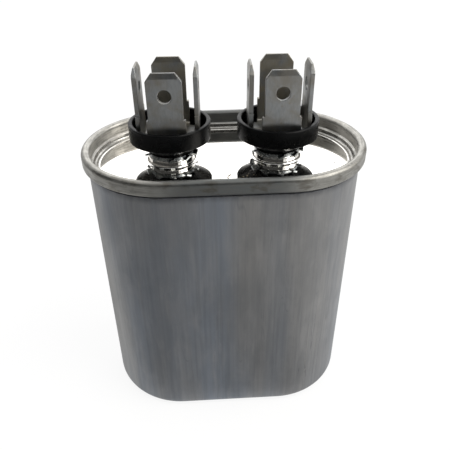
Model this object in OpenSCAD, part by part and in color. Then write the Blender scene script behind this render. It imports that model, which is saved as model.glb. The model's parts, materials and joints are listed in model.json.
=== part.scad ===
// Oval motor run capacitor: a drawn aluminium can closed by a double-seamed cover,
// with two four-tab terminals on insulator cups and a film winding inside.
// Units are millimetres. The origin is at the middle of the can's bottom face,
// X runs from terminal to terminal, -Y is the front and +Z is up.

/* [Can] */
// Length of the can's body, over the round ends
body_length = 53.1; // [51:0.1:80]
// Width of the can's body, over the flat sides
body_width = 31.8; // [29:0.1:34]
// Height from the bottom of the can to the top of the seam
can_height = 58.8; // [45:0.1:130]
// Thickness of the can's wall and bottom
can_wall = 0.4; // [0.3:0.05:0.6]
// Outside radius of the edge between the can's wall and bottom
bottom_radius = 2; // [1.5:0.1:2.2]

/* [Seam] */
// Height of the double seam
seam_height = 2.75; // [2.4:0.05:3.2]
// Thickness of the cover's sheet
cover_sheet = 0.25; // [0.2:0.01:0.32]
// Clearance between the sheets inside the seam
seam_gap = 0.03; // [0.02:0.01:0.06]
// Outside radius of the seam's top edges
crown_radius = 0.75; // [0.4:0.05:0.8]
// Clearance at the end of each hook
hook_clearance = 0.25; // [0.1:0.05:0.4]

/* [Cover] */
// Depth of the cover's panel below the top of the seam
recess_depth = 3.6; // [3.3:0.05:4.2]
// Depth of the chuck wall's upper band below the top of the seam
chuck_depth = 2.4; // [1.5:0.05:2.5]
// Width of the step at the foot of the chuck wall's upper band
chuck_step = 0.35; // [0.2:0.05:0.6]
// Height of the step at the foot of the chuck wall's upper band
chuck_step_height = 0.3; // [0.2:0.05:0.4]
// Radius between the chuck wall and the panel
foot_radius = 0.6; // [0.4:0.05:0.7]
// Radius of the raised boss under each terminal
boss_radius = 4.45; // [4.35:0.05:5.2]
// Height of the raised boss above the panel
boss_height = 1.6; // [1.3:0.05:1.9]
// Radius of the boss's top edge
boss_edge_radius = 0.4; // [0.3:0.05:0.45]
// Radius between the boss and the panel
boss_foot_radius = 0.6; // [0.4:0.05:0.7]

/* [Terminals] */
// Distance between the two terminals
terminal_spacing = 20.7; // [18.5:0.1:21.3]
// Angle by which the left terminal is turned on its rivet
left_turn = -2.5; // [-5:0.5:5]
// Angle by which the right terminal is turned on its rivet
right_turn = -1; // [-5:0.5:5]
// Width of a tab
tab_width = 6.35; // [4.8:0.05:6.35]
// Thickness of a tab and of the base under it
tab_thickness = 0.8; // [0.5:0.05:0.8]
// Height of the tabs' tips above the top of the seam
tab_rise = 14.95; // [13.5:0.05:18]
// Clearance between the cup's bore and the corners of the front and back tabs
front_tab_clearance = 0.4; // [0.3:0.05:0.6]
// Clearance between the cup's bore and the corners of the side tabs
side_tab_clearance = 0.15; // [0.1:0.05:0.6]
// Width of the chamfer at each corner of a tab's tip
tip_chamfer_width = 1.1; // [0.5:0.05:1.2]
// Height of the chamfer at each corner of a tab's tip
tip_chamfer_height = 1.5; // [0.6:0.05:2]
// Height of the bevel on both faces of a tab's tip
tip_bevel_height = 1; // [0.5:0.05:1.2]
// Thickness left at the very tip of a tab
tip_thickness = 0.35; // [0.2:0.05:0.45]
// Diameter of the detent hole in a tab
detent_diameter = 2.5; // [1.6:0.05:2.6]
// Distance of the detent hole's centre from the tip
detent_depth = 4.15; // [3.6:0.05:4.6]
// Distance of a tab's shoulders from its tip
shoulder_depth = 8.5; // [7.8:0.05:9.5]
// Width of each shoulder
shoulder_width = 0.38; // [0.2:0.02:0.4]
// Inside radius of the bend between a tab and the base
tab_bend_radius = 0.5; // [0.3:0.05:0.6]

/* [Insulator cups] */
// Outside radius of a cup
cup_radius = 7.8; // [7.75:0.05:8.4]
// Height of a cup's rim above the top of the seam
cup_rise = 4.5; // [4:0.05:5.5]
// Height of a cup's straight outside wall
cup_band = 3.3; // [2.4:0.05:3.5]
// Thickness of a cup's wall
cup_wall = 0.85; // [0.7:0.05:0.9]
// Height of a cup's floor above the top of the seam
cup_floor_rise = 1.2; // [1:0.05:1.4]
// Radius of a cup's foot, where it sits on the washer
cup_foot_radius = 4.3; // [4.1:0.05:4.6]
// Height of a cup's foot under its cone
cup_foot_height = 0.4; // [0.2:0.05:0.5]
// Radius of a cup's rim edges
rim_radius = 0.25; // [0.1:0.05:0.3]
// Radius of the spigot that insulates the rivet from the cover
spigot_radius = 2.5; // [2.2:0.05:2.55]
// Length of the spigot below the cup's foot
spigot_length = 1.45; // [1.2:0.05:1.6]

/* [Washers, gaskets and rivets] */
// Thickness of a star washer and of the gasket inside it
washer_thickness = 0.6; // [0.4:0.05:0.7]
// Outside radius of a star washer's ring
washer_radius = 4.45; // [4.3:0.05:4.6]
// Radial width of a star washer's ring
washer_band = 0.9; // [0.7:0.05:1]
// Number of teeth on a star washer
tooth_count = 10; // [8:1:12]
// Radius over a star washer's teeth
tooth_reach = 5.25; // [4.9:0.05:5.5]
// Width of a tooth
tooth_width = 1.2; // [0.9:0.05:1.4]
// Thickness of a tooth
tooth_thickness = 0.4; // [0.3:0.05:0.5]
// Twist of a tooth about its own length
tooth_twist = 28; // [10:1:30]
// Direction of the first tooth
tooth_phase = 21; // [0:1:36]
// Radial width of a gasket
gasket_band = 0.85; // [0.6:0.05:0.9]
// Radius of a rivet's shank
shank_radius = 1.5; // [1.2:0.05:1.7]
// Radius of a rivet's domed head
head_radius = 2.7; // [2.3:0.05:3]
// Height of a rivet's domed head
head_height = 0.9; // [0.6:0.05:1.2]
// Radius of a rivet's clinched end
clinch_radius = 2.3; // [2:0.05:2.6]
// Thickness of a rivet's clinched end
clinch_height = 0.6; // [0.4:0.05:0.8]
// Radial clearance between parts that slip over each other
slip_gap = 0.05; // [0.03:0.01:0.1]

/* [Bushes and pressure interrupter] */
// Radius of a bush's flange under the boss
bush_radius = 3.9; // [3.6:0.05:4]
// Thickness of a bush's flange
bush_flange = 1.4; // [1.2:0.05:1.8]
// Radius of a bush's collar
collar_radius = 2.9; // [2.6:0.05:3.2]
// Height of a bush's collar
collar_height = 0.9; // [0.6:0.05:1.2]
// Gap under the end of the spigot in a bush
spigot_clearance = 0.15; // [0.05:0.05:0.25]
// Gap between a rivet's clinched end and the top of the interrupter plate
plate_gap = 0.5; // [0.3:0.05:0.8]
// Thickness of the interrupter plate
plate_thickness = 1.5; // [1.2:0.05:2]
// Clearance between the interrupter plate and the can's wall
plate_clearance = 0.3; // [0.2:0.05:0.5]
// Wall of the rim that stands between the interrupter plate and the cover
plate_rim_wall = 1.2; // [1:0.05:1.5]
// Radius of the interrupter plate's hole round a break tab's dimple
plate_hole_radius = 2; // [1.7:0.05:2.2]
// Thickness of a break tab
break_tab_thickness = 0.3; // [0.2:0.05:0.4]
// Width of a break tab
break_tab_width = 5; // [4.6:0.1:6]
// Length of a break tab behind its rivet
break_tab_back = 5.6; // [5:0.1:7]
// Length of a break tab in front of its rivet
break_tab_front = 2.6; // [2.4:0.1:3.5]
// Outside radius of the dimple that reaches up to the rivet
dimple_radius = 1.4; // [1.1:0.05:1.6]

/* [Winding] */
// Gap between the can's wall and the wrap of the winding
winding_gap = 2.4; // [2.3:0.05:3.5]
// Thickness of the wrap
wrap_thickness = 0.5; // [0.3:0.05:0.8]
// Distance by which the wrap stands past the top of the winding
wrap_overhang = 0.6; // [0.2:0.05:1]
// Thickness of the sprayed metal on each end
spray_thickness = 0.4; // [0.3:0.05:0.6]
// Outside half-thickness of the flat core
core_radius = 1.5; // [1.2:0.05:2]
// Wall of the flat core
core_wall = 0.6; // [0.4:0.05:0.8]
// Height of the spacer between the winding and the interrupter plate
spacer_height = 5.5; // [4.5:0.1:9]
// Wall of the spacer
spacer_wall = 1.2; // [1:0.05:1.6]
// Thickness of the bottom tray's floor
tray_floor = 1; // [0.8:0.05:1.5]
// Height of the bottom tray's ribs above its floor
rib_height = 3.8; // [3.2:0.1:6]
// Thickness of a rib
rib_width = 4; // [3:0.1:5]
// Distance of each rib's middle from the middle of the tray
rib_offset = 17; // [15.5:0.1:17.5]
// Length of a rib across the tray
rib_length = 16; // [12:0.1:18]
// Height of the bottom tray's rim above its floor
tray_rim_height = 7.6; // [6:0.1:10]
// Thickness of the bottom tray's rim
tray_rim_wall = 0.5; // [0.4:0.05:0.6]

/* [Leads] */
// Radius of a lead over its insulation
lead_radius = 0.8; // [0.6:0.05:0.9]
// Radius of a lead's middle line at a bend
lead_bend_radius = 2; // [1.6:0.1:2.4]
// Distance of the top lead's upper end behind its rivet
top_lead_back = 3.8; // [3:0.1:4.4]
// Clearance between the top lead's end and the inside of the spacer's end
top_lead_clearance = 2.65; // [1.8:0.05:6]
// Distance of the bottom lead's lower end behind the middle of the winding
bottom_lead_start = 2.5; // [2.1:0.1:5]
// Distance of the bottom lead's upper end behind its rivet
bottom_lead_end = 2.4; // [1.8:0.1:4]
// Clearance on each side of the bottom lead in the slots it passes
slot_clearance = 0.5; // [0.3:0.05:0.8]

/* [Hidden] */
$fn = 96;

// Length by which a cutting shape stands past what it cuts
cut = 1;
// Depth by which a tooth's root lies inside its ring
tooth_root = 0.1;

// The oval: the distance between the centres of its round ends, and its radii there
oval_run = body_length - body_width;
body_radius = body_width / 2;
can_bore = body_radius - can_wall;
flat_bottom_radius = body_radius - bottom_radius;

// Layers of the seam, from the chuck wall outwards
chuck_radius = can_bore - seam_gap - cover_sheet;
cover_hook_inside = body_radius + seam_gap;
can_hook_inside = cover_hook_inside + cover_sheet + seam_gap;
seam_radius = can_hook_inside + can_wall + seam_gap + cover_sheet;

// Bends of the two hooks
can_hook_bend = (can_hook_inside - body_radius) / 2;
can_hook_centre = body_radius + can_hook_bend;
can_hook_axis = can_height - cover_sheet - seam_gap - can_wall - can_hook_bend;
cover_hook_bend = (can_wall + 2 * seam_gap) / 2;
cover_hook_centre = seam_radius - cover_sheet - cover_hook_bend;
seam_bottom = can_height - seam_height;
cover_hook_axis = seam_bottom + cover_sheet + cover_hook_bend;
can_hook_end = seam_bottom + cover_sheet + hook_clearance;
cover_hook_end = can_hook_axis - hook_clearance;

// Cover
panel_top = can_height - recess_depth;
panel_bottom = panel_top - cover_sheet;
lower_chuck_radius = chuck_radius - chuck_step;
panel_radius = lower_chuck_radius - foot_radius;
boss_top = panel_top + boss_height;

// Stack of a terminal, from the boss upwards and then down into the can
terminal_x = terminal_spacing / 2;
cup_foot = boss_top + washer_thickness;
cup_floor = can_height + cup_floor_rise;
cup_rim = can_height + cup_rise;
cup_bore = cup_radius - cup_wall;
cone_top = cup_rim - cup_band;
base_top = cup_floor + tab_thickness;
tab_tip = can_height + tab_rise;
tab_foot_width = tab_width + 2 * shoulder_width;
front_tab_offset = tab_offset(cup_bore - front_tab_clearance);
side_tab_offset = tab_offset(cup_bore - side_tab_clearance);
spigot_end = cup_foot - spigot_length;
spigot_hole = spigot_radius + slip_gap;
rivet_hole = shank_radius + slip_gap;
bush_top = boss_top - cover_sheet;
collar_top = bush_top - bush_flange;
bush_bottom = collar_top - collar_height;
rivet_end = bush_bottom - clinch_height;

// Pressure interrupter
plate_top = rivet_end - plate_gap;
plate_bottom = plate_top - plate_thickness;
plate_radius = can_bore - plate_clearance;
plate_rim_radius = panel_radius - slip_gap;
break_tab_bottom = plate_bottom - break_tab_thickness;

// Winding and what holds it
wrap_radius = can_bore - winding_gap;
winding_radius = wrap_radius - wrap_thickness;
spacer_bottom = plate_bottom - spacer_height;
spacer_radius = winding_radius - slip_gap;
winding_top = spacer_bottom - spray_thickness;
tray_top = can_wall + tray_floor;
rib_top = tray_top + rib_height;
winding_bottom = rib_top + spray_thickness;

// Leads
lead_lane = (can_bore + wrap_radius) / 2;
bottom_lead_x = min(terminal_x, oval_run / 2);
upper_run_z = break_tab_bottom - lead_radius;
lower_run_z = rib_top - lead_radius;
top_run_z = spacer_bottom + lead_radius;
slot_width = 2 * (lead_radius + slot_clearance);
top_lead_end = oval_run / 2 + spacer_radius - spacer_wall - top_lead_clearance;

can_colour = "#a3a7ab";
tin_colour = "#c9c8c2";
tab_colour = "#5d6163";
black_colour = "#151617";
steel_colour = "#9a9c9c";
brass_colour = "#b79a5a";
board_colour = "#a5713c";
white_colour = "#e4e2d8";
film_colour = "#c8b98c";
zinc_colour = "#8f9396";
lead_colour = "#b8382c";
compound_colour = "#6f7a4a";

// Distance of a tab's middle plane from the rivet, for the radius that its outer corners reach
function tab_offset(reach) = sqrt(reach * reach - tab_foot_width * tab_foot_width / 4) - tab_thickness / 2;

// Flat oval whose ends have the given radius
module oval(radius) {
    square([oval_run, 2 * radius], center = true);
    for (side = [-1, 1])
        translate([side * oval_run / 2, 0])
            circle(radius);
}

// Upright oval block
module oval_block(radius, bottom, top) {
    translate([0, 0, bottom])
        linear_extrude(top - bottom)
            oval(radius);
}

// Upright oval wall between two radii
module oval_wall(outside, inside, bottom, top) {
    translate([0, 0, bottom])
        linear_extrude(top - bottom)
            difference() {
                oval(outside);
                oval(inside);
            }
}

// Sweeps a flat section round the oval: x is the radius at the ends and y is the height
module oval_sweep() {
    for (side = [-1, 1])
        translate([side * oval_run / 2, 0, 0])
            rotate([0, 0, -90 * side])
                rotate_extrude(angle = 180)
                    children();
    for (side = [0, 1])
        mirror([0, side, 0])
            rotate([90, 0, 90])
                linear_extrude(oval_run, center = true)
                    children();
}

// Rectangle given by its limits
module slab(left, right, bottom, top) {
    translate([left, bottom])
        square([right - left, top - bottom]);
}

// Quarter of a flat ring round (x, y), on the given side and level of its centre
module quarter_ring(x, y, inside, sheet, side, level) {
    reach = inside + sheet;
    translate([x, y])
        intersection() {
            difference() {
                circle(reach);
                circle(inside);
            }
            translate([min(side, 0) * reach, min(level, 0) * reach])
                square(reach);
        }
}

// Rectangle with its two upper corners rounded
module round_topped(left, right, bottom, top, radius) {
    slab(left, right, bottom, top - radius);
    slab(left + radius, right - radius, bottom, top);
    for (x = [left + radius, right - radius])
        translate([x, top - radius])
            circle(radius);
}

// Section of the can: bottom, wall and the hook that is curled into the seam
module can_section() {
    slab(0, flat_bottom_radius, 0, can_wall);
    quarter_ring(flat_bottom_radius, bottom_radius, bottom_radius - can_wall, can_wall, 1, -1);
    slab(can_bore, body_radius, bottom_radius, can_hook_axis);
    for (side = [-1, 1])
        quarter_ring(can_hook_centre, can_hook_axis, can_hook_bend, can_wall, side, 1);
    slab(can_hook_inside, can_hook_inside + can_wall, can_hook_end, can_hook_axis);
}

module can() {
    color(can_colour)
        oval_sweep()
            can_section();
}

// Section of the cover: hook, outer wall, crown, chuck wall and panel
module cover_section() {
    crown_inside = crown_radius - cover_sheet;
    crown_axis = can_height - crown_radius;
    chuck_end = can_height - chuck_depth;
    step_end = chuck_end - chuck_step_height;
    slab(cover_hook_inside, cover_hook_inside + cover_sheet, cover_hook_axis, cover_hook_end);
    for (side = [-1, 1])
        quarter_ring(cover_hook_centre, cover_hook_axis, cover_hook_bend, cover_sheet, side, -1);
    slab(seam_radius - cover_sheet, seam_radius, cover_hook_axis, crown_axis);
    quarter_ring(seam_radius - crown_radius, crown_axis, crown_inside, cover_sheet, 1, 1);
    slab(chuck_radius + crown_radius, seam_radius - crown_radius, can_height - cover_sheet, can_height);
    quarter_ring(chuck_radius + crown_radius, crown_axis, crown_inside, cover_sheet, -1, 1);
    slab(chuck_radius, chuck_radius + cover_sheet, chuck_end, crown_axis);
    polygon([
        [chuck_radius, chuck_end],
        [chuck_radius + cover_sheet, chuck_end],
        [lower_chuck_radius + cover_sheet, step_end],
        [lower_chuck_radius, step_end]
    ]);
    slab(lower_chuck_radius, lower_chuck_radius + cover_sheet, panel_top + foot_radius, step_end);
    quarter_ring(panel_radius, panel_top + foot_radius, foot_radius, cover_sheet, 1, -1);
    slab(0, panel_radius, panel_bottom, panel_top);
}

// Half section of a boss that is drawn up out of a level sheet
module boss_section(radius, height, edge, foot) {
    slab(0, radius, -cut, height - edge);
    slab(0, radius - edge, 0, height);
    translate([radius - edge, height - edge])
        circle(edge);
    difference() {
        slab(0, radius + foot, -cut, foot);
        translate([radius + foot, foot])
            circle(foot);
    }
}

module cover() {
    color(tin_colour)
        difference() {
            union() {
                oval_sweep()
                    cover_section();
                for (side = [-1, 1])
                    translate([side * terminal_x, 0, panel_top])
                        rotate_extrude()
                            intersection() {
                                boss_section(boss_radius, boss_height, boss_edge_radius, boss_foot_radius);
                                slab(0, boss_radius + boss_foot_radius, -cover_sheet, boss_height);
                            }
            }
            for (side = [-1, 1])
                translate([side * terminal_x, 0, panel_bottom]) {
                    rotate_extrude()
                        boss_section(boss_radius - cover_sheet, boss_height, boss_edge_radius - cover_sheet,
                                     boss_foot_radius + cover_sheet);
                    cylinder(boss_height + cut, r = spigot_hole);
                }
        }
}

// Fills the pocket between the end of the cover's hook and the bend of the can's hook
module seam_compound() {
    color(compound_colour)
        oval_sweep() {
            slab(body_radius, can_hook_inside, cover_hook_end, can_hook_axis);
            for (side = [-1, 1])
                quarter_ring(can_hook_centre, can_hook_axis, 0, can_hook_bend, side, 1);
        }
}

// Everything below is drawn round a rivet's axis, and placed there by this module
module at_terminal(side, turn = 0) {
    translate([side * terminal_x, 0, 0])
        rotate([0, 0, turn])
            children();
}

module insulator_cup() {
    color(black_colour)
        rotate_extrude() {
            slab(rivet_hole, spigot_radius, spigot_end, cup_foot);
            polygon([
                [rivet_hole, cup_foot],
                [cup_foot_radius, cup_foot],
                [cup_foot_radius, cup_foot + cup_foot_height],
                [cup_radius, cone_top],
                [cup_bore, cone_top],
                [cup_bore, cup_floor],
                [rivet_hole, cup_floor]
            ]);
            round_topped(cup_bore, cup_radius, cone_top, cup_rim, rim_radius);
        }
}

// Side view of a tab and its half of the base, from the rivet's axis outwards
module tab_side_view(distance) {
    inner_face = distance - tab_thickness / 2;
    outer_face = distance + tab_thickness / 2;
    bend_x = inner_face - tab_bend_radius;
    bend_z = base_top + tab_bend_radius;
    slab(0, bend_x, cup_floor, base_top);
    quarter_ring(bend_x, bend_z, tab_bend_radius, tab_thickness, 1, -1);
    polygon([
        [inner_face, bend_z],
        [outer_face, bend_z],
        [outer_face, tab_tip - tip_bevel_height],
        [distance + tip_thickness / 2, tab_tip],
        [distance - tip_thickness / 2, tab_tip],
        [inner_face, tab_tip - tip_bevel_height]
    ]);
}

// Front view of a tab, with its shoulders, its chamfered tip and its detent hole
module tab_front_view() {
    half = tab_width / 2;
    half_foot = tab_foot_width / 2;
    half_tip = half - tip_chamfer_width;
    shoulder = tab_tip - shoulder_depth;
    difference() {
        polygon([
            [-half_foot, cup_floor],
            [half_foot, cup_floor],
            [half_foot, shoulder],
            [half, shoulder],
            [half, tab_tip - tip_chamfer_height],
            [half_tip, tab_tip],
            [-half_tip, tab_tip],
            [-half, tab_tip - tip_chamfer_height],
            [-half, shoulder],
            [-half_foot, shoulder]
        ]);
        translate([0, tab_tip - detent_depth])
            circle(d = detent_diameter);
    }
}

module tab(distance) {
    intersection() {
        rotate([90, 0, 0])
            linear_extrude(tab_foot_width, center = true)
                tab_side_view(distance);
        rotate([90, 0, 90])
            linear_extrude(distance + tab_thickness)
                tab_front_view();
    }
}

module quad_terminal() {
    color(tab_colour)
        difference() {
            union() {
                for (angle = [0, 180])
                    rotate([0, 0, angle])
                        tab(side_tab_offset);
                for (angle = [90, 270])
                    rotate([0, 0, angle])
                        tab(front_tab_offset);
            }
            translate([0, 0, cup_floor - cut])
                cylinder(tab_thickness + 2 * cut, r = rivet_hole);
        }
}

module rivet() {
    dome_radius = (head_radius * head_radius + head_height * head_height) / (2 * head_height);
    color(steel_colour)
        rotate_extrude() {
            intersection() {
                translate([0, base_top + head_height - dome_radius])
                    circle(dome_radius);
                slab(0, head_radius, base_top, base_top + head_height);
            }
            slab(0, shank_radius, rivet_end, base_top);
            slab(0, clinch_radius, rivet_end, bush_bottom);
        }
}

module star_washer() {
    color(steel_colour) {
        translate([0, 0, boss_top])
            linear_extrude(washer_thickness)
                difference() {
                    circle(washer_radius);
                    circle(washer_radius - washer_band);
                }
        for (tooth = [0 : tooth_count - 1])
            rotate([0, 0, tooth_phase + tooth * 360 / tooth_count])
                translate([washer_radius - tooth_root, 0, boss_top + washer_thickness / 2])
                    rotate([tooth_twist, 0, 0])
                        translate([0, -tooth_width / 2, -tooth_thickness / 2])
                            cube([tooth_reach - washer_radius + tooth_root, tooth_width, tooth_thickness]);
    }
}

module gasket() {
    outside = washer_radius - washer_band - slip_gap;
    color(black_colour)
        translate([0, 0, boss_top])
            linear_extrude(washer_thickness)
                difference() {
                    circle(outside);
                    circle(outside - gasket_band);
                }
}

module bush() {
    pocket_bottom = spigot_end - spigot_clearance;
    color(white_colour)
        rotate_extrude() {
            slab(spigot_hole, bush_radius, pocket_bottom, bush_top);
            slab(rivet_hole, bush_radius, collar_top, pocket_bottom);
            slab(rivet_hole, collar_radius, bush_bottom, collar_top);
        }
}

module break_tab() {
    color(brass_colour)
        difference() {
            union() {
                translate([-break_tab_width / 2, -break_tab_front, break_tab_bottom])
                    cube([break_tab_width, break_tab_front + break_tab_back, break_tab_thickness]);
                translate([0, 0, break_tab_bottom])
                    cylinder(rivet_end - break_tab_bottom, r = dimple_radius);
            }
            translate([0, 0, break_tab_bottom - cut])
                cylinder(rivet_end - break_tab_bottom - break_tab_thickness + cut,
                         r = dimple_radius - break_tab_thickness);
        }
}

module interrupter_plate() {
    color(board_colour)
        difference() {
            union() {
                oval_block(plate_radius, plate_bottom, plate_top);
                oval_wall(plate_rim_radius, plate_rim_radius - plate_rim_wall, plate_top, panel_bottom);
            }
            for (side = [-1, 1])
                translate([side * terminal_x, 0, plate_bottom - cut])
                    cylinder(plate_thickness + 2 * cut, r = plate_hole_radius);
        }
}

// Upright slot through the back wall of a ring, for the bottom lead
module lead_slot(inner_face, bottom, top) {
    translate([bottom_lead_x - slot_width / 2, inner_face, bottom])
        cube([slot_width, can_bore - inner_face, top - bottom]);
}

module spacer() {
    color(white_colour)
        difference() {
            oval_wall(spacer_radius, spacer_radius - spacer_wall, spacer_bottom, plate_bottom);
            lead_slot(spacer_radius - spacer_wall - cut, upper_run_z - slot_width / 2, plate_bottom + cut);
        }
}

module winding() {
    color(film_colour)
        oval_wall(winding_radius, core_radius, winding_bottom, winding_top);
}

module winding_core() {
    color(white_colour)
        oval_wall(core_radius, core_radius - core_wall, winding_bottom, winding_top);
}

module top_spray() {
    color(zinc_colour)
        oval_wall(winding_radius, core_radius, winding_top, spacer_bottom);
}

module bottom_spray() {
    color(zinc_colour)
        oval_wall(winding_radius, core_radius, rib_top, winding_bottom);
}

module winding_wrap() {
    color(board_colour)
        oval_wall(wrap_radius, winding_radius, winding_bottom, spacer_bottom + wrap_overhang);
}

module bottom_tray() {
    color(white_colour) {
        difference() {
            union() {
                oval_block(flat_bottom_radius, can_wall, tray_top);
                oval_wall(flat_bottom_radius, flat_bottom_radius - tray_rim_wall,
                          tray_top, tray_top + tray_rim_height);
            }
            lead_slot(flat_bottom_radius - tray_rim_wall - cut, tray_top, tray_top + tray_rim_height + cut);
        }
        for (side = [-1, 1])
            translate([side * rib_offset - rib_width / 2, -rib_length / 2, tray_top])
                cube([rib_width, rib_length, rib_height]);
    }
}

// Straight piece of lead from a flat point (x, y), in the given flat direction
module lead_run(x, y, angle, length) {
    translate([x, y, 0])
        rotate([0, 0, angle])
            rotate([0, 90, 0])
                cylinder(length, r = lead_radius);
}

// Quarter bend of a lead round a flat point (x, y), from the given flat direction
module lead_bend(x, y, angle) {
    translate([x, y, 0])
        rotate([0, 0, angle])
            rotate_extrude(angle = 90)
                translate([lead_bend_radius, 0])
                    circle(lead_radius);
}

module top_lead() {
    color(lead_colour)
        translate([-terminal_x, top_lead_back, 0])
            rotate([90, 0, 0]) {
                lead_run(-lead_bend_radius, top_run_z, 180, top_lead_end - terminal_x - lead_bend_radius);
                lead_bend(-lead_bend_radius, top_run_z + lead_bend_radius, -90);
                lead_run(0, top_run_z + lead_bend_radius, 90,
                         break_tab_bottom - top_run_z - lead_bend_radius);
            }
}

module bottom_lead() {
    lane = lead_lane - lead_bend_radius;
    lower = lower_run_z + lead_bend_radius;
    upper = upper_run_z - lead_bend_radius;
    color(lead_colour)
        translate([bottom_lead_x, 0, 0])
            rotate([90, 0, 90]) {
                lead_run(bottom_lead_start, lower_run_z, 0, lane - bottom_lead_start);
                lead_bend(lane, lower, -90);
                lead_run(lead_lane, lower, 90, upper - lower);
                lead_bend(lane, upper, 0);
                lead_run(lane, upper_run_z, 180, lane - bottom_lead_end);
            }
}

can();
cover();
seam_compound();
at_terminal(-1) insulator_cup();  // left_cup
at_terminal(-1, left_turn) quad_terminal();  // left_terminal
at_terminal(-1) rivet();  // left_rivet
at_terminal(-1) star_washer();  // left_star_washer
at_terminal(-1) gasket();  // left_gasket
at_terminal(-1) bush();  // left_bush
at_terminal(-1) break_tab();  // left_break_tab
at_terminal(1) insulator_cup();  // right_cup
at_terminal(1, right_turn) quad_terminal();  // right_terminal
at_terminal(1) rivet();  // right_rivet
at_terminal(1) star_washer();  // right_star_washer
at_terminal(1) gasket();  // right_gasket
at_terminal(1) bush();  // right_bush
at_terminal(1) break_tab();  // right_break_tab
interrupter_plate();
spacer();
top_lead();
bottom_lead();
winding();
winding_core();
top_spray();
bottom_spray();
winding_wrap();
bottom_tray();
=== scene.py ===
import json
import math
import random
import bpy
import bmesh
from mathutils import Matrix, Vector


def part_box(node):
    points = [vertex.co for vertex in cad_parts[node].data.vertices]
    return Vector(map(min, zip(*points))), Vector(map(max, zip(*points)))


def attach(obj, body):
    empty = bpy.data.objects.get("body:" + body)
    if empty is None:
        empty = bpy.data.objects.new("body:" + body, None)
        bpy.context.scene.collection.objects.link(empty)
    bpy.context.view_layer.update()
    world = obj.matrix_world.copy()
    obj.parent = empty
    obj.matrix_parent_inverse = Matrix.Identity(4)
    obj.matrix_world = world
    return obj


# Finishes, small loose pieces, camera and light for an oval motor run capacitor.
# Everything is in metres; mm turns millimetres into them.

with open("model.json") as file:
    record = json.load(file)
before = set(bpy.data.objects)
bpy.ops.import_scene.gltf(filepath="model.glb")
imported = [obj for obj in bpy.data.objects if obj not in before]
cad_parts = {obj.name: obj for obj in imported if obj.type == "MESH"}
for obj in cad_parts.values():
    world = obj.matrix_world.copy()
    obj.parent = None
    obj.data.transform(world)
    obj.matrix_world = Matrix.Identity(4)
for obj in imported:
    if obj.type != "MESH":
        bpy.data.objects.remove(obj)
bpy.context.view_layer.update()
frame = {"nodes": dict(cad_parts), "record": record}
mm = 0.001
print("frame loaded:", len(frame["nodes"]), "solids")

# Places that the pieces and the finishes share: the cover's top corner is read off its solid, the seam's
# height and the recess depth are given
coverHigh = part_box("cover")[1]
ovalHalfRun = coverHigh.x - coverHigh.y      # from the middle to the centre of a round end
seamRadius = coverHigh.y
seamTop = coverHigh.z
seamHeight = 3.3 * mm
recessDepth = 3.6 * mm
seamLow = seamTop - seamHeight
panelTop = seamTop - recessDepth


# Node helpers

def addNode(tree, kind, inputs=None, **settings):
    made = tree.nodes.new("ShaderNode" + kind)
    for name, value in settings.items():
        setattr(made, name, value)
    for name, value in (inputs or {}).items():
        if isinstance(value, bpy.types.NodeSocket):
            tree.links.new(value, made.inputs[name])
        else:
            made.inputs[name].default_value = value
    return made


def addMath(tree, operation, first, second=0.0, clamp=False):
    return addNode(tree, "Math", {0: first, 1: second}, operation=operation, use_clamp=clamp).outputs[0]


def addProduct(tree, first, second):
    return addMath(tree, "MULTIPLY", first, second)


def addSteps(tree, value, low, high, toLow=0.0, toHigh=1.0):
    # Smooth rise from toLow to toHigh while the value goes from low to high
    made = addNode(tree, "MapRange", {"Value": value, "From Min": low, "From Max": high,
                                      "To Min": toLow, "To Max": toHigh}, interpolation_type="SMOOTHSTEP")
    return made.outputs["Result"]


def addMix(tree, factor, first, second, blend="MIX"):
    made = addNode(tree, "Mix", data_type="RGBA", blend_type=blend)
    for name, value in (("Factor", factor), ("A", first), ("B", second)):
        socket = next(s for s in made.inputs if s.name == name and s.enabled)
        if isinstance(value, bpy.types.NodeSocket):
            tree.links.new(value, socket)
        else:
            socket.default_value = value
    return next(s for s in made.outputs if s.enabled)


def shade(code, gain=1.0):
    # Linear colour from a screen colour such as "8d9399"
    parts = [int(code[i:i + 2], 16) / 255 for i in (0, 2, 4)]
    return [gain * (p / 12.92 if p <= 0.04045 else ((p + 0.055) / 1.055) ** 2.4) for p in parts] + [1]


def startGroup(name, inputs, outputs):
    tree = bpy.data.node_groups.new(name, "ShaderNodeTree")
    for socketName, kind, value in inputs:
        made = tree.interface.new_socket(socketName, in_out="INPUT", socket_type="NodeSocket" + kind)
        made.default_value = value
    for socketName, kind in outputs:
        tree.interface.new_socket(socketName, in_out="OUTPUT", socket_type="NodeSocket" + kind)
    return tree, tree.nodes.new("NodeGroupInput").outputs, tree.nodes.new("NodeGroupOutput").inputs


def placeGroup(tree, group, **values):
    made = tree.nodes.new("ShaderNodeGroup")
    made.node_tree = group
    for name, value in values.items():
        made.inputs[name].default_value = value
    return made.outputs


# Effects that several finishes use

frontFromBack = 0.1     # how far apart the patterns of the front and the back are taken


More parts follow.
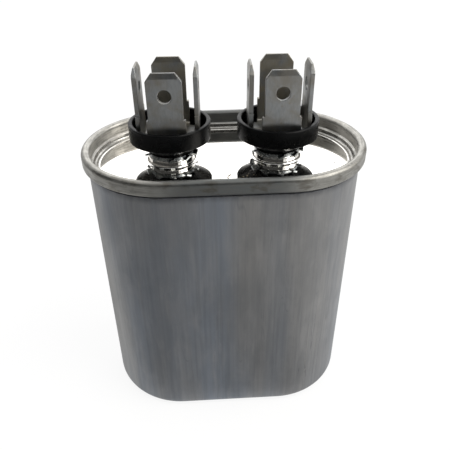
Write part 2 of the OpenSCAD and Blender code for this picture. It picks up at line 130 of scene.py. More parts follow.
def buildOvalPlace():
    # How far a point lies from the oval's middle line and how high, and a place that runs round the oval
    tree, given, results = startGroup(
        "ovalPlace", [], [("Distance", "Float"), ("Height", "Float"), ("Rolled", "Vector")])
    place = addNode(tree, "SeparateXYZ", {0: addNode(tree, "TexCoord").outputs["Object"]}).outputs
    past = addMath(tree, "SUBTRACT", addMath(tree, "ABSOLUTE", place["X"]), ovalHalfRun)
    past = addMath(tree, "MAXIMUM", past, 0.0)
    turn = addMath(tree, "ARCTAN2", past, addMath(tree, "ABSOLUTE", place["Y"]))
    along = addMath(tree, "MINIMUM", addMath(tree, "ABSOLUTE", place["X"]), ovalHalfRun)
    along = addMath(tree, "ADD", along, addProduct(tree, turn, seamRadius))
    along = addProduct(tree, along, addMath(tree, "SIGN", place["X"]))
    square = addMath(tree, "ADD", addProduct(tree, past, past),
                     addProduct(tree, place["Y"], place["Y"]))
    distance = addMath(tree, "SQRT", square)
    # The front and the back get marks of their own
    apart = addProduct(tree, addMath(tree, "SIGN", place["Y"]), frontFromBack)
    level = addMath(tree, "ADD", place["Z"], apart)
    rolled = addNode(tree, "CombineXYZ", {0: along, 1: distance, 2: level}).outputs[0]
    tree.links.new(distance, results["Distance"])
    tree.links.new(place["Z"], results["Height"])
    tree.links.new(rolled, results["Rolled"])
    return tree


def buildGrain():
    # Fine and broad variation, drawn out along the axes that Squash makes small
    tree, given, results = startGroup(
        "drawnGrain",
        [("Scale", "Float", 1000.0), ("Squash", "Vector", (1, 1, 1)), ("Broad Share", "Float", 0.12)],
        [("Fine", "Float"), ("Broad", "Float")])
    place = addNode(tree, "TexCoord").outputs["Object"]
    drawn = addNode(tree, "VectorMath", {0: place, 1: given["Squash"]}, operation="MULTIPLY").outputs[0]
    fine = addNode(tree, "TexNoise", {"Vector": drawn, "Scale": given["Scale"], "Detail": 3.0,
                                      "Roughness": 0.6})
    broadScale = addProduct(tree, given["Scale"], given["Broad Share"])
    broad = addNode(tree, "TexNoise", {"Vector": drawn, "Scale": broadScale, "Detail": 2.0, "Roughness": 0.5})
    tree.links.new(fine.outputs[0], results["Fine"])
    tree.links.new(broad.outputs[0], results["Broad"])
    return tree


def buildGrime():
    # Cloudy patches: Cover is the share of the surface that they take
    tree, given, results = startGroup(
        "grime", [("Scale", "Float", 200.0), ("Cover", "Float", 0.4), ("Softness", "Float", 0.12),
                  ("Squash", "Vector", (1, 1, 1))], [("Mask", "Float")])
    place = addNode(tree, "TexCoord").outputs["Object"]
    drawn = addNode(tree, "VectorMath", {0: place, 1: given["Squash"]}, operation="MULTIPLY").outputs[0]
    cloud = addNode(tree, "TexNoise", {"Vector": drawn, "Scale": given["Scale"], "Detail": 5.0,
                                       "Roughness": 0.62, "Distortion": 0.4}).outputs[0]
    edge = addMath(tree, "SUBTRACT", 0.72, addProduct(tree, given["Cover"], 0.44))
    low = addMath(tree, "SUBTRACT", edge, given["Softness"])
    high = addMath(tree, "ADD", edge, given["Softness"])
    tree.links.new(addSteps(tree, cloud, low, high), results["Mask"])
    return tree


speckNudge = 0.3 * mm     # how far the spots are pushed out of round


def buildSpecks():
    # Small separate spots: Size is a spot's share of its cell, Amount the share of the cells that have one
    tree, given, results = startGroup(
        "specks", [("Scale", "Float", 2000.0), ("Size", "Float", 0.3), ("Amount", "Float", 0.2)],
        [("Mask", "Float")])
    place = addNode(tree, "TexCoord").outputs["Object"]
    bent = addNode(tree, "TexNoise", {"Vector": place, "Scale": given["Scale"], "Detail": 1.0}).outputs
    nudge = addNode(tree, "VectorMath", {0: bent["Color"], "Scale": speckNudge}, operation="SCALE").outputs
    moved = addNode(tree, "VectorMath", {0: place, 1: nudge[0]}, operation="ADD").outputs[0]
    cells = addNode(tree, "TexVoronoi", {"Vector": moved, "Scale": given["Scale"]}).outputs
    lot = addNode(tree, "SeparateColor", {0: cells["Color"]}).outputs[0]
    chosen = addMath(tree, "LESS_THAN", lot, given["Amount"])
    spot = addSteps(tree, cells["Distance"], addProduct(tree, given["Size"], 0.6), given["Size"], 1.0, 0.0)
    tree.links.new(addProduct(tree, spot, chosen), results["Mask"])
    return tree


def buildScratches():
    # Long thin lines along the axes that Squash makes small
    tree, given, results = startGroup(
        "scratches",
        [("Scale", "Float", 600.0), ("Squash", "Vector", (1, 1, 0.05)), ("Width", "Float", 0.012),
         ("Amount", "Float", 0.4)],
        [("Mask", "Float")])
    place = addNode(tree, "TexCoord").outputs["Object"]
    drawn = addNode(tree, "VectorMath", {0: place, 1: given["Squash"]}, operation="MULTIPLY").outputs[0]
    lines = addNode(tree, "TexNoise", {"Vector": drawn, "Scale": given["Scale"], "Detail": 0.0}).outputs[0]
    away = addMath(tree, "ABSOLUTE", addMath(tree, "SUBTRACT", lines, 0.5))
    thin = addSteps(tree, away, 0.0, given["Width"], 1.0, 0.0)
    gateScale = addProduct(tree, given["Scale"], 0.6)
    gate = addNode(tree, "TexNoise", {"Vector": place, "Scale": gateScale, "Detail": 2.0}).outputs[0]
    start = addMath(tree, "SUBTRACT", 0.7, addProduct(tree, given["Amount"], 0.4))
    opened = addSteps(tree, gate, start, addMath(tree, "ADD", start, 0.06))
    tree.links.new(addProduct(tree, thin, opened), results["Mask"])
    return tree


def buildEdgeWear():
    # Where an edge is rubbed, and the normal of an edge that isn't knife sharp
    tree, given, results = startGroup(
        "edgeWear", [("Width", "Float", 0.1 * mm), ("Scale", "Float", 900.0), ("Gain", "Float", 6.0)],
        [("Mask", "Float"), ("Normal", "Vector")])
    rounded = addNode(tree, "Bevel", {"Radius": given["Width"]}, samples=6).outputs[0]
    flat = addNode(tree, "NewGeometry").outputs["Normal"]
    facing = addNode(tree, "VectorMath", {0: rounded, 1: flat}, operation="DOT_PRODUCT").outputs["Value"]
    edge = addMath(tree, "MULTIPLY", addMath(tree, "SUBTRACT", 1.0, facing), given["Gain"], clamp=True)
    place = addNode(tree, "TexCoord").outputs["Object"]
    rub = addNode(tree, "TexNoise", {"Vector": place, "Scale": given["Scale"], "Detail": 3.0}).outputs[0]
    tree.links.new(addProduct(tree, edge, addSteps(tree, rub, 0.3, 0.62)), results["Mask"])
    tree.links.new(rounded, results["Normal"])
    return tree


ovalPlace = buildOvalPlace()
drawnGrain = buildGrain()
grime = buildGrime()
specks = buildSpecks()
scratches = buildScratches()
edgeWear = buildEdgeWear()
print("effects built")


# Finishes

def startFinish(name, **values):
    finish = bpy.data.materials.new(name)
    finish.use_nodes = True
    tree = finish.node_tree
    surface = next(n for n in tree.nodes if n.type == "BSDF_PRINCIPLED")
    for socketName, value in values.items():
        surface.inputs[socketName.replace("_", " ")].default_value = value
    return finish, tree, surface


def finishWith(tree, surface, colour, roughness, height, depth, strength=0.6, normal=None):
    # Sends the finished colour, roughness and relief to the surface
    tree.links.new(colour, surface.inputs["Base Color"])
    tree.links.new(roughness, surface.inputs["Roughness"])
    relief = {"Height": height, "Distance": depth, "Strength": strength}
    if normal is not None:
        relief["Normal"] = normal
    tree.links.new(addNode(tree, "Bump", relief).outputs[0], surface.inputs["Normal"])


canLook = {
    "cool": shade("828890"),
    "warm": shade("8b8a88"),
    "pale": shade("9b9a99"),
    "dark": shade("62666b"),
    "stain": shade("4c4e51"),
    "lines": 1500.0,
    "roughness": (0.42, 0.56),
    "scuffPlace": (19.0 * mm, -14.5 * mm, 14 * mm),
    "scuffSize": (6 * mm, 7 * mm, 15 * mm),
    "scuffLines": 0.55,
    "seamShadow": 1.6 * mm,
    "relief": 0.006 * mm,
}


def makeCanFinish():
    finish, tree, surface = startFinish("drawnAluminium", Metallic=1.0)
    where = placeGroup(tree, ovalPlace)
    lines = placeGroup(tree, drawnGrain, Scale=canLook["lines"], Squash=(1, 1, 0.02))
    bands = placeGroup(tree, drawnGrain, Scale=700.0, Squash=(1, 1, 0.12))
    blotches = placeGroup(tree, grime, Scale=110.0, Cover=0.5, Softness=0.2, Squash=(1, 1, 0.45))["Mask"]
    rubs = placeGroup(tree, grime, Scale=330.0, Cover=0.35, Softness=0.1, Squash=(1, 1, 0.25))["Mask"]
    colour = addMix(tree, addSteps(tree, bands["Broad"], 0.32, 0.68), canLook["cool"], canLook["warm"])
    colour = addMix(tree, addSteps(tree, bands["Fine"], 0.42, 0.7, 0.0, 0.3), colour, canLook["pale"])
    colour = addMix(tree, addSteps(tree, lines["Fine"], 0.35, 0.75, 0.0, 0.3), colour, canLook["dark"])
    colour = addMix(tree, addProduct(tree, blotches, 0.3), colour, canLook["dark"])
    colour = addMix(tree, addProduct(tree, rubs, 0.22), colour, canLook["pale"])
    # Dark upright scuffs low on the right of the front
    place = addNode(tree, "TexCoord").outputs["Object"]
    away = addNode(tree, "VectorMath", {0: place, 1: canLook["scuffPlace"]}, operation="SUBTRACT").outputs[0]
    away = addNode(tree, "VectorMath", {0: away, 1: canLook["scuffSize"]}, operation="DIVIDE").outputs[0]
    away = addNode(tree, "VectorMath", {0: away}, operation="LENGTH").outputs["Value"]
    scuffs = placeGroup(tree, scratches, Scale=1100.0, Squash=(1, 1, 0.035), Width=0.035, Amount=0.8)["Mask"]
    scuffs = addProduct(tree, scuffs, addSteps(tree, away, 0.5, 1.0, canLook["scuffLines"], 0.0))
    hairs = placeGroup(tree, scratches, Scale=420.0, Squash=(1, 1, 0.05), Width=0.01, Amount=0.6)["Mask"]
    colour = addMix(tree, scuffs, colour, canLook["stain"])
    colour = addMix(tree, addProduct(tree, hairs, 0.25), colour, canLook["dark"])
    # Painted shade: a darker band on the body just under the seam, in the stain colour
    shadeUnderSeam = addSteps(tree, where["Height"], seamLow - canLook["seamShadow"], seamLow, 0.0, 0.7)
    colour = addMix(tree, addProduct(tree, shadeUnderSeam, addSteps(tree, bands["Fine"], 0.3, 0.6, 0.5, 1.0)),
                    colour, canLook["stain"])
    low, high = canLook["roughness"]
    roughness = addSteps(tree, lines["Broad"], 0.3, 0.7, low, high)
    roughness = addMath(tree, "ADD", roughness, addProduct(tree, blotches, 0.06))
    height = addMath(tree, "SUBTRACT", lines["Fine"], hairs)
    finishWith(tree, surface, colour, roughness, height, canLook["relief"], 0.6)
    return finish


coverLook = {
    "bright": shade("f0eeea"),
    "wall": shade("b9b7b2"),
    "crown": shade("b4b2ac"),
    # painted shade for the seam's outer face
    "outside": shade("93928d"),
    "straight": shade("565a5b"),     # painted shade: the long sides of the crown are darker than the round ends
    "stain": shade("4a4337"),
    "dirt": shade("6b6a66"),
    "mirror": 0.05,
    "drawn": 0.2,
    "rolled": 0.4,
    "bulge": 0.9 * mm,
        "straightEnd": (7.0 * mm, 16.0 * mm),
    "outsideBand": (0.9 * mm, 0.3 * mm),      # inwards from the seam's outside
    "crownBand": (2.1 * mm, 1.7 * mm),
    "panelBand": (3.2 * mm, 2.8 * mm),
    "relief": 0.02 * mm,
    "rollMarks": (220.0, 3200.0, 3200.0),     # long along the seam, fine across it
}


def makeCoverFinish():
    finish, tree, surface = startFinish("tinplate", Metallic=1.0)
    where = placeGroup(tree, ovalPlace)
    place = addNode(tree, "SeparateXYZ", {0: addNode(tree, "TexCoord").outputs["Object"]}).outputs
    outsideStart, outsideFull = (seamRadius - inward for inward in coverLook["outsideBand"])
    crownStart, crownFull = (seamRadius - inward for inward in coverLook["crownBand"])
    panelFull, panelEnd = (seamRadius - inward for inward in coverLook["panelBand"])
    onPanel = addSteps(tree, where["Distance"], panelFull, panelEnd, 1.0, 0.0)
    outside = addSteps(tree, where["Distance"], outsideStart, outsideFull)
    onCrown = addSteps(tree, where["Distance"], crownStart, crownFull)
    straight = addSteps(tree, addMath(tree, "ABSOLUTE", place["X"]), *coverLook["straightEnd"], 1.0, 0.0)
    inside = addMath(tree, "SUBTRACT", 1.0, onPanel)
    colour = addMix(tree, onPanel, coverLook["wall"], coverLook["bright"])
    colour = addMix(tree, onCrown, colour, coverLook["crown"])
    # Painted shade: the seam's outer face is made darker than the crown
    colour = addMix(tree, outside, colour, coverLook["outside"])
    drawn = addNode(tree, "VectorMath", {0: where["Rolled"], 1: coverLook["rollMarks"]}, operation="MULTIPLY")
    marks = addNode(tree, "TexNoise", {"Vector": drawn.outputs[0], "Scale": 1.0, "Detail": 4.0,
                                       "Roughness": 0.6}).outputs[0]
    upright = placeGroup(tree, drawnGrain, Scale=900.0, Squash=(1, 1, 0.25))
    smears = placeGroup(tree, grime, Scale=420.0, Cover=0.5, Softness=0.15)["Mask"]
    stains = placeGroup(tree, grime, Scale=230.0, Cover=0.34, Softness=0.08, Squash=(1, 1, 2))["Mask"]
    spots = placeGroup(tree, specks, Scale=1500.0, Size=0.34, Amount=0.25)["Mask"]
    # Painted shade: the crown's long sides, front and back, are made darker than its round ends
    colour = addMix(tree, addProduct(tree, straight, addProduct(tree, onCrown, 0.85)),
                    colour, coverLook["straight"])
    colour = addMix(tree, addProduct(tree, addSteps(tree, marks, 0.42, 0.66, 0.0, 0.55), inside),
                    colour, coverLook["dirt"])
    onWall = addMath(tree, "SUBTRACT", inside, onCrown, clamp=True)
    runs = addProduct(tree, addSteps(tree, upright["Fine"], 0.4, 0.7, 0.0, 0.45), onWall)
    colour = addMix(tree, runs, colour, coverLook["dirt"])
    colour = addMix(tree, addProduct(tree, smears, addSteps(tree, onPanel, 0.0, 1.0, 0.22, 0.02)),
                    colour, coverLook["dirt"])
    colour = addMix(tree, addProduct(tree, stains, addProduct(tree, outside, 0.5)),
                    colour, coverLook["stain"])
    colour = addMix(tree, addProduct(tree, spots, addSteps(tree, onPanel, 0.0, 1.0, 0.4, 0.05)),
                    colour, coverLook["dirt"])
    roughness = addSteps(tree, onPanel, 0.0, 1.0, coverLook["drawn"], coverLook["mirror"])
    roughness = addMath(tree, "ADD", roughness, addProduct(tree, onCrown,
                                                        coverLook["rolled"] - coverLook["drawn"]))
    roughness = addMath(tree, "ADD", roughness, addProduct(tree, smears,
                                                        addProduct(tree, inside, 0.1)))
    # The panel bulges a little between the bosses and the wall
    away = addMath(tree, "DIVIDE", where["Distance"], seamRadius)
    bulge = addProduct(tree, addProduct(tree, away, away), -coverLook["bulge"] / coverLook["relief"])
    bulge = addProduct(tree, bulge, onPanel)
    relief = addMath(tree, "ADD", addProduct(tree, marks, inside), bulge)
    finishWith(tree, surface, colour, roughness, relief, coverLook["relief"], 0.5)
    return finish


def makeSimpleFinish(name, look, metallic):
    # One finish for a plain rigid piece: mottled colour, grain, rubbed edges, specks and relief
    finish, tree, surface = startFinish(name, Metallic=metallic, **look.get("surface", {}))
    grain = placeGroup(tree, drawnGrain, Scale=look["grain"], Squash=look.get("squash", (1, 1, 1)))
    marks = placeGroup(tree, grime, Scale=look["marks"], Cover=look.get("cover", 0.4), Softness=0.14)["Mask"]
    edges = placeGroup(tree, edgeWear, Width=look["edge"], Scale=look["marks"] * 3, Gain=4.0)
    speckShare = look.get("specks", 0.1)
    spots = placeGroup(tree, specks, Scale=look["marks"] * 6, Size=0.3, Amount=speckShare)["Mask"]
    colour = addMix(tree, addSteps(tree, grain["Fine"], 0.3, 0.7), look["colour"], look["second"])
    colour = addMix(tree, addProduct(tree, marks, look.get("markShare", 0.5)), colour, look["mark"])
    colour = addMix(tree, addProduct(tree, spots, 0.5), colour, look["mark"])
    if "patina" in look:
        # The pieces behind have browned more
        depth = addNode(tree, "SeparateXYZ", {0: addNode(tree, "TexCoord").outputs["Object"]}).outputs["Y"]
        cloud = placeGroup(tree, grime, Scale=look["marks"], Cover=0.75, Softness=0.2)["Mask"]
        behind = addSteps(tree, depth, 1.0 * mm, 5.0 * mm, 0.12, 0.6)
        colour = addMix(tree, addProduct(tree, cloud, behind), colour, look["patina"])
    worn = addProduct(tree, edges["Mask"], look.get("edgeShare", 0.6))
    colour = addMix(tree, worn, colour, look["rubbed"])
    low, high = look["roughness"]
    roughness = addSteps(tree, grain["Broad"], 0.3, 0.7, low, high)
    roughness = addMath(tree, "ADD", roughness, addProduct(tree, marks, 0.08))
    finishWith(tree, surface, colour, roughness, grain["Fine"], look["relief"], 0.5, edges["Normal"])
    return finish


looks = {
    "terminal_metal": {
        "colour": shade("85888a"), "second": shade("909394"),
        "mark": shade("7d776d"), "rubbed": shade("5c5a55"),
        "patina": shade("a39a86"),
        "grain": 2600.0, "squash": (1, 1, 0.3), "marks": 260.0, "cover": 0.45, "markShare": 0.6,
        "edge": 0.22 * mm, "roughness": (0.34, 0.46), "relief": 0.004 * mm, "metal": 1.0, "edgeShare": 0.4,
    },
    "rivet_steel": {
        "colour": shade("a9a9a6"), "second": shade("b7b6b1"),
        "mark": shade("77746c"), "rubbed": shade("d0cfca"),
        "grain": 2400.0, "marks": 500.0, "edge": 0.08 * mm, "roughness": (0.26, 0.36), "relief": 0.004 * mm,
        "metal": 1.0,
    },
    "washer_steel": {
        "colour": shade("8f9496"), "second": shade("a7aaab"),
        "mark": shade("4b4f52"), "rubbed": shade("d8d8d5"),
        "grain": 1800.0, "marks": 600.0, "edge": 0.06 * mm, "roughness": (0.2, 0.32), "relief": 0.006 * mm,
        "metal": 1.0,
    },
    "black_plastic": {
        "colour": shade("040405"), "second": shade("060707"),
        "mark": shade("0c0d0e"), "rubbed": shade("232528"),
        "grain": 3200.0, "marks": 420.0, "edge": 0.14 * mm, "roughness": (0.2, 0.3), "relief": 0.003 * mm,
        "metal": 0.0, "markShare": 0.35, "edgeShare": 0.35, "specks": 0.06,
        "surface": {"Specular_IOR_Level": 0.1},
    },
    "gasket_rubber": {
        "colour": shade("131313"), "second": shade("1b1b1a"),
        "mark": shade("2c2b29"), "rubbed": shade("3b3a38"),
        "grain": 2600.0, "marks": 700.0, "edge": 0.05 * mm, "roughness": (0.6, 0.75), "relief": 0.01 * mm,
        "metal": 0.0,
    },
    "natural_plastic": {
        "colour": shade("ded9c9"), "second": shade("e6e2d6"),
        "mark": shade("c4b994"), "rubbed": shade("f0eee6"),
        "grain": 1400.0, "marks": 150.0, "edge": 0.12 * mm, "roughness": (0.38, 0.5), "relief": 0.006 * mm,
        "metal": 0.0, "surface": {"Subsurface_Weight": 0.08, "Subsurface_Scale": 0.4 * mm},
    },
    "tab_brass": {
        "colour": shade("c6a557"), "second": shade("b8964b"),
        "mark": shade("7d5f31"), "rubbed": shade("e3c987"),
        "grain": 2200.0, "squash": (1, 0.2, 1), "marks": 400.0, "edge": 0.05 * mm, "roughness": (0.24, 0.36),
        "relief": 0.004 * mm, "metal": 1.0,
    },
    "phenolic_board": {
        "colour": shade("8d5a2e"), "second": shade("7c4a24"),
        "mark": shade("5b3418"), "rubbed": shade("b98a5a"),
        "grain": 900.0, "squash": (0.3, 1, 1), "marks": 160.0, "edge": 0.1 * mm, "roughness": (0.42, 0.55),
        "relief": 0.01 * mm, "metal": 0.0,
    },
    "lead_insulation": {
        "colour": shade("b3261e"), "second": shade("a82019"),
        "mark": shade("7c1712"), "rubbed": shade("c9483f"),
        "grain": 1500.0, "marks": 300.0, "edge": 0.05 * mm, "roughness": (0.34, 0.44), "relief": 0.004 * mm,
        "metal": 0.0,
    },
    "sprayed_zinc": {
        "colour": shade("8c9092"), "second": shade("a3a6a7"),
        "mark": shade("5d6163"), "rubbed": shade("c2c4c4"),
        "grain": 3500.0, "marks": 900.0, "edge": 0.1 * mm, "roughness": (0.55, 0.75), "relief": 0.05 * mm,
        "metal": 1.0,
    },
    "wrap_board": {
        "colour": shade("b99a6b"), "second": shade("c3a678"),
        "mark": shade("8d7148"), "rubbed": shade("d6c29b"),
        "grain": 1200.0, "squash": (1, 1, 0.3), "marks": 140.0, "edge": 0.1 * mm, "roughness": (0.7, 0.85),
        "relief": 0.02 * mm, "metal": 0.0,
    },
    "capacitor_film": {
        "colour": shade("c9bd9a"), "second": shade("d6cbac"),
        "mark": shade("9b8c66"), "rubbed": shade("e4dcc4"),
        "grain": 2400.0, "squash": (1, 1, 0.02), "marks": 120.0, "edge": 0.08 * mm, "roughness": (0.2, 0.3),
        "relief": 0.006 * mm, "metal": 0.0, "surface": {"Coat_Weight": 0.3},
    },
    "sealing_compound": {
        "colour": shade("4a4d3a"), "second": shade("55573f"),
        "mark": shade("2f3026"), "rubbed": shade("6a6b52"),
        "grain": 1200.0, "marks": 300.0, "edge": 0.05 * mm, "roughness": (0.45, 0.6), "relief": 0.02 * mm,
        "metal": 0.0,
    },
}

finishes = {"can_aluminium": makeCanFinish(), "tinplate": makeCoverFinish()}
for slotName, look in looks.items():
    finishes[slotName] = makeSimpleFinish(slotName.replace("_", "") + "Finish", look, look["metal"])

for part in frame["record"]["subparts"]:
    solid = frame["nodes"][part["node"]]
    solid.data.materials.clear()
    solid.data.materials.append(finishes[part["material_slot"]])
print("finishes on", len(frame["nodes"]), "solids")


# Loose dirt on the cover and the bead of sealer under the seam

dirtPatches = {
    "brownCrumbs": {"count": 34, "middle": (0.6 * mm, -8.4 * mm), "spread": (4.6 * mm, 1.6 * mm),
                    "size": (0.09 * mm, 0.34 * mm), "seed": 3, "slot": "sealing_compound"},
    "greyCrumbs": {"count": 26, "middle": (20.6 * mm, -4.6 * mm), "spread": (4.2 * mm, 3.0 * mm),
                   "size": (0.08 * mm, 0.3 * mm), "seed": 8, "slot": "black_plastic"},
    "edgeCrumbs": {"count": 9, "middle": (23.4 * mm, 3.2 * mm), "spread": (1.2 * mm, 3.2 * mm),
                   "size": (0.08 * mm, 0.26 * mm), "seed": 5, "slot": "black_plastic"},
}
crumbLook = {
    "brownCrumbs": {"colour": shade("8a7a5c"), "second": shade("a39475"), "mark": shade("4f412c")},
    "greyCrumbs": {"colour": shade("55534f"), "second": shade("6d6a64"), "mark": shade("2b2a28")},
    "edgeCrumbs": {"colour": shade("5d5a53"), "second": shade("74716a"), "mark": shade("34322e")},
}
crumbShared = {"rubbed": shade("9a958a"), "grain": 3000.0, "marks": 900.0, "edge": 0.03 * mm,
               "roughness": (0.7, 0.9), "relief": 0.02 * mm}
crumbRoom = seamRadius - 4.2 * mm     # no crumb lies nearer to the wall than this
crumbRise = 0.09                      # a chip's middle above the panel, as a share of its size


def makeCrumbMould():
    # One rough chip, pressed flat underneath
    bpy.ops.object.select_all(action="DESELECT")
    bpy.ops.mesh.primitive_ico_sphere_add(subdivisions=2, radius=0.5, location=(0, 0, 0))
    chip = bpy.context.object
    chip.name = "crumbMould"
    bpy.ops.object.mode_set(mode="EDIT")
    bpy.ops.mesh.select_all(action="SELECT")
    bpy.ops.transform.vertex_random(offset=0.12, uniform=0.8, normal=0.3, seed=4)
    bpy.ops.transform.resize(value=(1.0, 0.72, 0.5), center_override=(0, 0, 0))
    bpy.ops.mesh.select_all(action="SELECT")
    bpy.ops.mesh.bisect(plane_co=(0, 0, -0.1), plane_no=(0, 0, 1), use_fill=True, clear_inner=True)
    bpy.ops.mesh.select_all(action="SELECT")
    bpy.ops.mesh.quads_convert_to_tris()
    bpy.ops.mesh.normals_make_consistent(inside=False)
    bpy.ops.object.mode_set(mode="OBJECT")
    return chip


def scatterCrumbs(name, patch, mould):
    # Copies of the chip lie on the panel, each with its own mesh, turn and size
    chance = random.Random(patch["seed"])
    chips = []
    while len(chips) < patch["count"]:
        x = patch["middle"][0] + chance.gauss(0, 0.5) * patch["spread"][0]
        y = patch["middle"][1] + chance.gauss(0, 0.5) * patch["spread"][1]
        past = max(abs(x) - ovalHalfRun, 0)
        if math.hypot(past, y) > crumbRoom:
            continue
        low, high = patch["size"]
        size = low + (high - low) * chance.random() ** 2
        chip = mould.copy()
        chip.data = mould.data.copy()
        bpy.context.collection.objects.link(chip)
        chip.matrix_world = (Matrix.Translation((x, y, panelTop + crumbRise * size))
                             @ Matrix.Rotation(chance.uniform(0, 6.28), 4, "Z") @ Matrix.Scale(size, 4))
        chips.append(chip)
    bpy.ops.object.select_all(action="DESELECT")
    for chip in chips:
        chip.select_set(True)
    bpy.context.view_layer.objects.active = chips[0]
    bpy.ops.object.join()
    piece = bpy.context.object
    piece.name = name
    bpy.ops.object.transform_apply(location=True, rotation=True, scale=True)
    piece.data.materials.clear()
    piece.data.materials.append(makeSimpleFinish(name + "Finish", {**crumbShared, **crumbLook[name]}, 0.0))
    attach(piece, "root")


sealerLook = {"level": seamLow - 0.06 * mm, "thick": 0.13 * mm, "reach": seamRadius - 0.93 * mm,
              "uneven": 0.05 * mm,
              "finish": {"colour": shade("35363a"), "second": shade("43454a"), "mark": shade("231f1b"),
                         "rubbed": shade("6a6a69"), "grain": 1500.0, "marks": 420.0, "edge": 0.04 * mm,
                         "roughness": (0.45, 0.65), "relief": 0.02 * mm}}


def makeSealerBead():
    # A thin ring, drawn out to the oval, where sealer was pressed out below the seam
    bpy.ops.object.select_all(action="DESELECT")
    bpy.ops.mesh.primitive_torus_add(major_segments=98, minor_segments=8, major_radius=sealerLook["reach"],
                                     minor_radius=sealerLook["thick"], location=(0, 0, sealerLook["level"]))
    bead = bpy.context.object
    bead.name = "sealerBead"
    bpy.ops.object.transform_apply(location=True, rotation=True, scale=True)
    for side in (1, -1):
        for vertex in bead.data.vertices:
            vertex.select = vertex.co.x * side > 0
        for edge in bead.data.edges:
            edge.select = False
        for face in bead.data.polygons:
            face.select = False
        bpy.ops.object.mode_set(mode="EDIT")
        bpy.ops.transform.translate(value=(side * ovalHalfRun, 0, 0))
        bpy.ops.mesh.select_all(action="DESELECT")
        bpy.ops.object.mode_set(mode="OBJECT")
    bpy.ops.object.mode_set(mode="EDIT")
    bpy.ops.mesh.select_mode(type="VERT")
    bpy.ops.mesh.select_all(action="SELECT")
    bpy.ops.transform.vertex_random(offset=sealerLook["uneven"], uniform=0.6, normal=0.2, seed=7)
    bpy.ops.mesh.normals_make_consistent(inside=False)
    bpy.ops.object.mode_set(mode="OBJECT")
    bpy.ops.object.shade_smooth()
    bead.data.materials.append(makeSimpleFinish("sealerFinish", sealerLook["finish"], 0.0))
    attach(bead, "root")


crumbMould = makeCrumbMould()
for name, patch in dirtPatches.items():
    scatterCrumbs(name, patch, crumbMould)
bpy.data.objects.remove(crumbMould)
makeSealerBead()
print("crumbs and sealer bead made")


# Floor, background and light

floorLook = {"size": 6.0, "drop": 0.02 * mm, "colour": shade("fcfcfc"), "lift": 0.86}


def makeFloor():
    bpy.ops.object.select_all(action="DESELECT")
    bpy.ops.mesh.primitive_plane_add(size=floorLook["size"], location=(0, 0, -floorLook["drop"]))
    floor = bpy.context.object
    floor.name = "studioFloor"
    bpy.ops.object.transform_apply(location=True, rotation=True, scale=True)
    paper = bpy.data.materials.new("studioPaper")
    paper.use_nodes = True
    tree = paper.node_tree
    tree.nodes.clear()
    rays = addNode(tree, "LightPath").outputs
    seen = addMath(tree, "MAXIMUM", rays["Is Camera Ray"], rays["Is Glossy Ray"])
    seen = addMath(tree, "MAXIMUM", seen, rays["Is Transmission Ray"])
    lit = addNode(tree, "BsdfDiffuse", {"Color": floorLook["colour"]}).outputs[0]
    glow = addNode(tree, "Emission", {"Color": (1, 1, 1, 1), "Strength": 1.0}).outputs[0]
    share = addProduct(tree, seen, floorLook["lift"])
    mixed = addNode(tree, "MixShader", {0: share, 1: lit, 2: glow}).outputs[0]
    addNode(tree, "OutputMaterial", {"Surface": mixed})
    floor.data.materials.append(paper)


worldLook = {"colour": (1, 1, 1, 1), "seen": 1.0, "given": 0.72}


def makeWorld():
    world = bpy.data.worlds.new("studioWorld")
    bpy.context.scene.world = world
    world.use_nodes = True
    tree = world.node_tree
    tree.nodes.clear()
    rays = addNode(tree, "LightPath").outputs
    seen = addMath(tree, "MAXIMUM", rays["Is Camera Ray"], rays["Is Glossy Ray"])
    seen = addMath(tree, "MAXIMUM", seen, rays["Is Transmission Ray"])
    strength = addSteps(tree, seen, 0.0, 1.0, worldLook["given"], worldLook["seen"])
    sky = addNode(tree, "Background", {"Color": worldLook["colour"], "Strength": strength}).outputs[0]
    addNode(tree, "OutputWorld", {"Surface": sky})


lamps = {
    "softRight": {"place": (0.42, -0.12, 0.42), "size": (0.5, 0.5), "power": 3.0,
                  "colour": (1.0, 0.965, 0.92)},
    "softLeft": {"place": (-0.5, 0.05, 0.4), "size": (0.45, 0.5), "power": 0.6, "colour": (0.98, 0.99, 1.0)},
    "softBack": {"place": (0.0, 0.6, 0.42), "size": (0.9, 0.5), "power": 1.6, "colour": (1.0, 1.0, 1.0)},
}


lampAim = Vector((0, 0, 40 * mm))


def makeLamps():
    for name, look in lamps.items():
        lamp = bpy.data.lights.new(name, "AREA")
        lamp.shape = "RECTANGLE"
        lamp.size, lamp.size_y = look["size"]
        lamp.energy = look["power"]
        lamp.color = look["colour"]
        holder = bpy.data.objects.new(name, lamp)
        bpy.context.collection.objects.link(holder)
        holder.location = look["place"]
        holder.rotation_euler = (lampAim - holder.location).to_track_quat("-Z", "Y").to_euler()
        holder.visible_camera = False


# A dark surround stands in front and on the left. Only reflections meet it.
surroundLook = {"radius": 0.4, "low": 0.02, "high": 0.52, "from": -205, "to": -62, "wallShade": 0.05,
                "matFrom": (-0.4, -0.4), "matTo": (0.026, -0.0185), "matShade": 0.56, "matRise": 0.2 * mm}


def makeSurroundCloth(name, grey):
    cloth = bpy.data.materials.new(name)
    cloth.use_nodes = True
    cloth.node_tree.nodes.clear()
    glow = addNode(cloth.node_tree, "Emission", {"Color": (grey, grey, grey, 1), "Strength": 1.0}).outputs[0]
    addNode(cloth.node_tree, "OutputMaterial", {"Surface": glow})
    return cloth


def hideFromAllButGloss(screen):
    screen.visible_camera = False
    screen.visible_diffuse = False
    screen.visible_transmission = False
    screen.visible_shadow = False


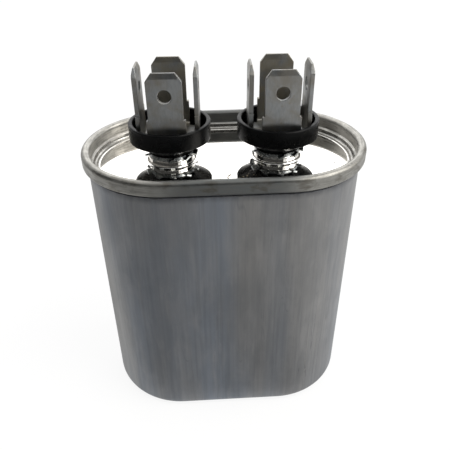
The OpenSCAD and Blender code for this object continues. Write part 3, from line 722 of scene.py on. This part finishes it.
def makeSurround():
    look = surroundLook
    bpy.ops.object.select_all(action="DESELECT")
    tall, middle = look["high"] - look["low"], (look["high"] + look["low"]) / 2
    bpy.ops.mesh.primitive_cylinder_add(vertices=72, radius=look["radius"], depth=tall,
                                        end_fill_type="NOTHING", location=(0, 0, middle))
    wall = bpy.context.object
    wall.name = "darkWall"
    bpy.ops.object.mode_set(mode="EDIT")
    shape = bmesh.from_edit_mesh(wall.data)
    for face in shape.faces:
        centre = face.calc_center_median()
        angle = math.degrees(math.atan2(centre.y, centre.x))
        angle = angle - 360 if angle > 0 else angle
        face.select_set(not look["from"] < angle < look["to"])
    bmesh.update_edit_mesh(wall.data)
    bpy.ops.mesh.delete(type="FACE")
    bpy.ops.object.mode_set(mode="OBJECT")
    bpy.ops.object.transform_apply(location=True, rotation=True, scale=True)
    wall.data.materials.append(makeSurroundCloth("wallCloth", look["wallShade"]))
    hideFromAllButGloss(wall)
    bpy.ops.object.select_all(action="DESELECT")
    (left, near), (right, far) = look["matFrom"], look["matTo"]
    place = ((left + right) / 2, (near + far) / 2, look["matRise"])
    bpy.ops.mesh.primitive_plane_add(size=1.0, location=place)
    mat = bpy.context.object
    mat.name = "darkMat"
    mat.scale = (right - left, far - near, 1)
    bpy.ops.object.transform_apply(location=True, rotation=True, scale=True)
    mat.data.materials.append(makeSurroundCloth("matCloth", look["matShade"]))
    hideFromAllButGloss(mat)


makeFloor()
makeWorld()
makeLamps()
makeSurround()
print("stage and light ready")


# Camera

cameraLook = {
    "place": (-4.309 * mm, -91.10 * mm, 99.46 * mm),
    "turn": -2.767, "tilt": -33.202, "roll": -0.792,
    "lens": 40.457, "sensor": 36.0, "shift": (-0.0018, -0.0072), "clip": (0.005, 20.0),
}


def makeCamera():
    camera = bpy.data.cameras.new("photoCamera")
    camera.sensor_width = cameraLook["sensor"]
    camera.lens = cameraLook["lens"]
    camera.shift_x, camera.shift_y = cameraLook["shift"]
    camera.clip_start, camera.clip_end = cameraLook["clip"]
    holder = bpy.data.objects.new("photoCamera", camera)
    bpy.context.collection.objects.link(holder)
    turn = Matrix.Rotation(math.radians(cameraLook["turn"]), 4, "Z")
    tilt = Matrix.Rotation(math.radians(90 + cameraLook["tilt"]), 4, "X")
    roll = Matrix.Rotation(math.radians(cameraLook["roll"]), 4, "Z")
    holder.matrix_world = Matrix.Translation(cameraLook["place"]) @ turn @ tilt @ roll
    bpy.context.scene.camera = holder


makeCamera()
bpy.context.scene.view_settings.view_transform = "Standard"
